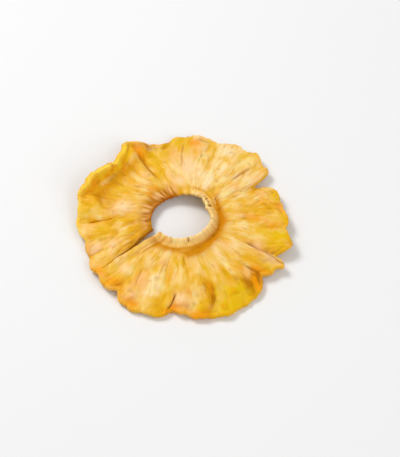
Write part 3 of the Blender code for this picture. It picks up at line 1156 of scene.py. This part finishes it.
@dataclass
class PineappleRing:
    """The ring itself: one closed sheet of fibrous flesh."""

    plan: SlicePlan = SlicePlan()
    section: SliceSection = SliceSection()
    relief: FibreRelief = FibreRelief()
    zones: Zones = Zones()
    grid: SheetGrid = field(default_factory=SheetGrid)
    hole_edge: Rounding = Rounding(0.7 * MM, 0.45)
    slit_edge: Rounding = Rounding(0.7 * MM, 0.35)
    slit_fade: float = 2.0
    rim_edge: Rounding = Rounding(1.1 * MM, 0.25)
    turn_probe: float = 0.6
    share_probe: float = 0.008
    least_skin: float = 0.12 * MM
    fibre_keep: float = 0.35
    lip_ragged: tuple[tuple[FibreNoise, float], ...] = (
        (FibreNoise(61, 74, 1), 0.42 * MM),
        (FibreNoise(62, 170, 1), 0.20 * MM),
    )
    crimps: FibreNoise = FibreNoise(63, 110, 9)
    crimp_height: float = 0.4 * MM
    crimp_reach: float = 2.6 * MM
    underside_relief: float = 0.8
    finish: DriedFlesh = DriedFlesh()

    def radius(self, turn: Array, share: Array, relief: bool = True) -> Array:
        """Distance from the hole's centre.

        Args:
            turn: Degrees around the hole.
            share: Way from the hole to the rim, 0 to 1.
            relief: Whether the rim has its scallops, tears and ragged fibres.

        Returns:
            Metres.
        """
        hole, rim = self.plan.hole(turn), self.plan.plain_rim(turn)
        radius = hole + (rim - hole) * share - self.section.curl_pull_in * self.section.curl(turn, share)
        if relief:
            radius = radius + self.plan.relief(turn, True) * share**self.plan.relief_power
        return radius

    def middle(self, turn: Array, share: Array, relief: bool = True) -> Array:
        """Points on the middle of the sheet.

        Args:
            turn: Degrees around the hole.
            share: Way from the hole to the rim, 0 to 1.
            relief: Whether the rim has its scallops, tears and ragged fibres.

        Returns:
            Points about the hole's centre, the last axis being x, y and z.
        """
        section, radius = self.section, self.radius(turn, share, relief)
        slit = self.plan.slit_gap(share) / radius
        angle = self.plan.slit_angle + slit * self.plan.slit_near_part
        angle = angle + np.radians(turn) * (1 - slit / math.tau)
        fall = (section.rim_heights.at(turn) - section.hub_height) * share**section.dome_power
        height = section.hub_height + fall + section.curl_rise * section.curl(turn, share)
        height = height + section.edges(self.plan, turn, share, radius)
        height = height + section.folds(turn, share, radius)
        return np.stack([radius * np.cos(angle), radius * np.sin(angle), height], axis=-1)

    def upward(self, turn: Array, share: Array) -> Array:
        """Unit normals of the sheet. Notches in the rim don't tip them.

        Args:
            turn: Degrees around the hole.
            share: Way from the hole to the rim, 0 to 1.

        Returns:
            Upward unit vectors.
        """
        in_slit = share < self.plan.slit_share
        ahead, behind = turn + self.turn_probe, turn - self.turn_probe
        ahead = np.where(in_slit, np.minimum(ahead, 360), ahead % 360)
        behind = np.where(in_slit, np.maximum(behind, 0), behind % 360)
        around = self.middle(ahead, share, False) - self.middle(behind, share, False)
        outer = np.minimum(share + self.share_probe, 1)
        inner = np.maximum(share - self.share_probe, 0)
        outward = self.middle(turn, outer, False) - self.middle(turn, inner, False)
        normal = np.cross(outward, around)
        return normal / np.linalg.norm(normal, axis=-1, keepdims=True)

    def rounded_edges(self) -> Array:
        """Round off the edges of the hole, the rim and the slit.

        Returns:
            Part of the thickness that is left.
        """
        turn, share = self.grid.turn, self.grid.share
        band = self.plan.plain_rim(turn) - self.plan.hole(turn)
        from_slit = self.radius(turn, share) * np.radians(np.minimum(turn, 360 - turn))
        past_slit = (share - self.plan.slit_share) / (1 - self.plan.slit_share)
        past_slit = smooth(past_slit * self.slit_fade)
        hole, rim = self.hole_edge.at(share * band), self.rim_edge.at((1 - share) * band)
        slit = self.slit_edge.at(from_slit + self.slit_edge.reach * past_slit)
        return np.minimum(np.minimum(hole, rim), slit)

    def points(self) -> Array:
        """Place all points of the sheet.

        Returns:
            The top's points, then the underside's, about the hole's centre.
        """
        turn, share, relief = self.grid.turn, self.grid.share, self.relief
        normal, radius = self.upward(turn, share), self.radius(turn, share)
        rounded = self.rounded_edges()
        half = self.section.thicknesses.at(share) / 2 * rounded
        keep = np.clip(rounded, self.fibre_keep, 1)
        swayed = relief.swayed(turn, share)
        standing = bell((radius - self.plan.hole(turn)) / self.section.lip_width)
        lift = relief.layered(relief.puckers, swayed, share)
        for noise, size in self.lip_ragged:
            lift = lift + size * noise.at(turn, share) * standing
        crimped = smooth(-self.section.lip_rises.at(turn) / self.section.turn_down_full)
        crimped = crimped * bell((radius - self.plan.hole(turn)) / self.crimp_reach)
        lift = lift + self.crimp_height * self.crimps.at(turn, share) * crimped
        middle = self.middle(turn, share) + lift[..., None] * normal
        raised = relief.layered(relief.bundles, swayed, share) - relief.splits(turn, share, radius)
        sunk = relief.layered(relief.bundles, swayed + 180, share) * self.underside_relief
        top = middle + np.maximum(half + raised * keep, self.least_skin)[..., None] * normal
        under = middle - np.maximum(half + sunk * keep, self.least_skin)[..., None] * normal
        return np.concatenate([top.reshape(-1, 3), under.reshape(-1, 3)])

    def build(self) -> bpy.types.Object:
        """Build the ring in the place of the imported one, and dress it.

        Returns:
            The ring.
        """
        points, faces = self.points(), self.grid.faces()
        low, high = (np.array(corner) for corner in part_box(NODE))
        points[:, :2] += (low + high)[:2] / 2 - (points.min(axis=0) + points.max(axis=0))[:2] / 2
        points[:, 2] = np.maximum(points[:, 2], low[2])
        used, corners = np.unique(faces, return_inverse=True)
        mesh = bpy.data.meshes.new("dried_ring")
        mesh.from_pydata(points[used].tolist(), [], corners.reshape(faces.shape).tolist())
        for mark, values in self.marks().items():
            beneath = values * self.zones.underside if mark in self.zones.top_only else values
            both = np.stack([values, beneath]).reshape(2 * self.grid.turn.size, -1)[used]
            kind, slot = ("FLOAT", "value") if both.shape[1] == 1 else ("FLOAT_VECTOR", "vector")
            layer = mesh.attributes.new(mark.value, kind, "POINT")
            layer.data.foreach_set(slot, both.astype(np.float32).ravel())
        mesh.shade_smooth()
        ring = bpy.data.objects.new("dried_ring", mesh)
        bpy.context.scene.collection.objects.link(ring)
        self.dress(ring)
        return ring

    def dress(self, ring: bpy.types.Object) -> None:
        """Give the ring its finish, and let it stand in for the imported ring.

        Args:
            ring: The ring.
        """
        ring.data.materials.append(self.finish.material())
        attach(ring, "root")
        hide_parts(NODE)

    def marks(self) -> dict[Mark, Array]:
        """What the finish needs to know at each place of the sheet.

        Returns:
            Arrays on the grid, by mark.
        """
        turn, share, relief = self.grid.turn, self.grid.share, self.relief
        section, zones = self.section, self.zones
        radius, swayed = self.radius(turn, share), relief.swayed(turn, share)
        away, lip_rise = radius - self.plan.hole(turn), section.lip_rises.at(turn)
        near, far = radius * np.radians(turn), radius * np.radians(360 - turn)
        band = self.plan.plain_rim(turn) - self.plan.hole(turn)
        left, from_rim = self.plan.slit_left(share), (1 - share) * band
        lip = zones.at_lip(smooth(lip_rise / zones.standing_full), away)
        ridge = zones.at_lip(smooth((left - zones.ridge_end) / zones.ridge_ease), near)
        lip_top = np.maximum(lip[Mark.LIP_TOP_AND_HIGHLIGHT], ridge[Mark.LIP_TOP_AND_HIGHLIGHT])
        # The groove band, partly sugary colour and partly painted shade cast by the lip
        groove = away - section.groove_places.at(turn) - zones.groove_outset
        groove = bell(groove / zones.groove_reaches.at(turn)) * zones.groove_by_turn.at(turn)
        rolled = smooth(-lip_rise / zones.rolled_full)
        crimps = zones.crimp_level + zones.crimp_contrast * self.crimps.at(turn, share)
        curl = section.curl(turn, np.ones_like(share))
        angle, along = np.radians(swayed), share * (self.plan.rim_radius - self.plan.hole_radius)
        around = self.plan.rim_radius * np.stack([np.cos(angle), np.sin(angle)], axis=-1)
        places = swayed, share, radius, band
        return {
            Mark.GRAIN: np.concatenate([around, along[..., None]], axis=-1),
            Mark.SHARE: share,
            Mark.BUNDLE: relief.layered(relief.bundles, swayed, share) / zones.bundle_unit,
            Mark.PUCKER: relief.layered(relief.puckers, swayed, share) / zones.pucker_unit,
            Mark.FOLD: section.folds(turn, share, radius) / zones.fold_unit,
            Mark.SEAM: relief.seams(swayed, share),
            # Depth of the cracks and pits, which the finish uses for painted shade
            Mark.SPLIT_SHADE: relief.splits(turn, share, radius) / MM,
            Mark.PALE: relief.paleness(turn, share),
            # Cream lip top, partly painted highlight
            Mark.LIP_TOP_AND_HIGHLIGHT: zones.lip_cream_by_turn.at(turn) * lip_top,
            Mark.LIP_SIDE: np.maximum(lip[Mark.LIP_SIDE], ridge[Mark.LIP_SIDE]),
            Mark.GROOVE_AND_SHADE: lip[Mark.GROOVE_AND_SHADE] + ridge[Mark.GROOVE_AND_SHADE] + groove,
            # Painted shade on the turned-down edge of the hole
            Mark.ROLL_SHADE: rolled * zones.rolled.at(away),
            Mark.CRIMP: crimps * rolled * zones.crimp.at(away),
            # Painted shade at the turned-down edge of the hole
            Mark.EDGE_SHADE: rolled * zones.edge.at(away),
            # Painted shade at the slit's far edge
            Mark.SLIT_SHADE: left**zones.slit_shade_power * zones.slit_shade.at(far),
            # Painted shade on the slit's far flank
            Mark.SLIT_FLANK_SHADE: left * zones.slit_flank_shade.at(far),
            Mark.RIM: zones.rim_by_turn.at(turn) * zones.rim.at(from_rim),
            Mark.STRIP: curl * smooth((share - zones.strip_from) / zones.strip_ease),
            # Painted shade inside the curl
            Mark.CURL_SHADE: curl * zones.curl_shade_in_shares.at(share),
            Mark.BRIM: zones.brim_by_turn.at(turn) * zones.brim.at(from_rim),
            Mark.ORANGE: zones.spotted(zones.orange_spots, *places),
            # Pale pinkish spots, partly painted highlight
            Mark.ROSE_AND_HIGHLIGHT: zones.spotted(zones.rose_and_highlight_spots, *places),
            Mark.CITRUS: zones.spotted(zones.citrus_spots, *places),
        }


class Lamp(NamedTuple):
    """A soft square lamp that faces the ring: its place, its side and its power in watts."""

    name: str
    place: tuple[float, float, float]
    size: float
    power: float


@dataclass(frozen=True)
class FloorPaper:
    """The finish of the floor: plain, pale and matt."""

    colour: Colour = (0.86, 0.86, 0.86)
    roughness: float = 0.9

    def material(self) -> bpy.types.Material:
        """Build the material.

        Returns:
            The material.
        """
        material = bpy.data.materials.new("floor_paper")
        material.use_nodes = True
        shader = material.node_tree.nodes["Principled BSDF"]
        shader.inputs["Base Color"].default_value = (*self.colour, 1)
        shader.inputs["Roughness"].default_value = self.roughness
        return material


@dataclass(frozen=True)
class Studio:
    """A plain pale floor, soft light and the camera."""

    floor_size: float = 4.0
    floor_paper: FloorPaper = FloorPaper()
    room_light: float = 0.48
    key: Lamp = Lamp("key", (-0.45, 0.35, 0.75), 0.35, 4.9)
    fill: Lamp = Lamp("fill", (0.6, -0.5, 0.7), 0.8, 3.3)
    elevation: float = 58.0
    lens: float = 240.0
    frame_width: float = 153.0 * MM
    picture_width: int = 400
    picture_height: int = 457
    aim_right: float = 6.1 * MM
    aim_up: float = -3.0 * MM

    def floor(self) -> bpy.types.Object:
        """Lay the floor at the ring's foot.

        Returns:
            The floor.
        """
        half = self.floor_size / 2
        mesh = bpy.data.meshes.new("floor")
        corners = [(-half, -half, 0), (half, -half, 0), (half, half, 0), (-half, half, 0)]
        mesh.from_pydata(corners, [], [(0, 1, 2, 3)])
        mesh.materials.append(self.floor_paper.material())
        floor = bpy.data.objects.new("floor", mesh)
        bpy.context.scene.collection.objects.link(floor)
        return floor

    @staticmethod
    def hang(lamp: Lamp) -> None:
        """Hang a lamp, facing the ring.

        Args:
            lamp: The lamp.
        """
        data = bpy.data.lights.new(lamp.name, "AREA")
        data.size, data.energy = lamp.size, lamp.power
        light = bpy.data.objects.new(lamp.name, data)
        light.location = lamp.place
        light.rotation_euler = (-Vector(lamp.place)).to_track_quat("-Z", "Y").to_euler()
        bpy.context.scene.collection.objects.link(light)

    def lights(self) -> None:
        """Light the room evenly, with a soft key from the far left."""
        world = bpy.data.worlds.new("studio")
        world.use_nodes = True
        world.node_tree.nodes["Background"].inputs["Color"].default_value = (1, 1, 1, 1)
        world.node_tree.nodes["Background"].inputs["Strength"].default_value = self.room_light
        bpy.context.scene.world = world
        self.hang(self.key)
        self.hang(self.fill)

    def camera(self) -> None:
        """Set the camera in front of the ring, looking down on it."""
        scene = bpy.context.scene
        scene.view_settings.view_transform = "Standard"
        low, high = (Vector(corner) for corner in CAD_BOX)
        tilt = math.radians(self.elevation)
        up = Vector((0, math.sin(tilt), math.cos(tilt)))
        away = Vector((0, -math.cos(tilt), math.sin(tilt)))
        aim = (low + high) / 2 + Vector((self.aim_right, 0, 0)) + up * self.aim_up
        data = bpy.data.cameras.new("camera")
        data.lens = self.lens
        across = self.frame_width * self.lens / data.sensor_width
        distance = across * self.picture_height / self.picture_width
        camera = bpy.data.objects.new("camera", data)
        camera.location = aim + away * distance
        camera.rotation_euler = (math.pi / 2 - tilt, 0, 0)
        scene.collection.objects.link(camera)
        scene.camera = camera


def main() -> None:
    """Build the ring and the studio, and report each piece."""
    logging.basicConfig(level=logging.INFO, format="%(message)s")
    studio = Studio()
    studio.camera()
    studio.lights()
    for piece in (studio.floor(), PineappleRing().build()):
        log.info("%s: %d vertices, %d faces", piece.name, len(piece.data.vertices), len(piece.data.polygons))


if __name__ == "__main__":
    main()
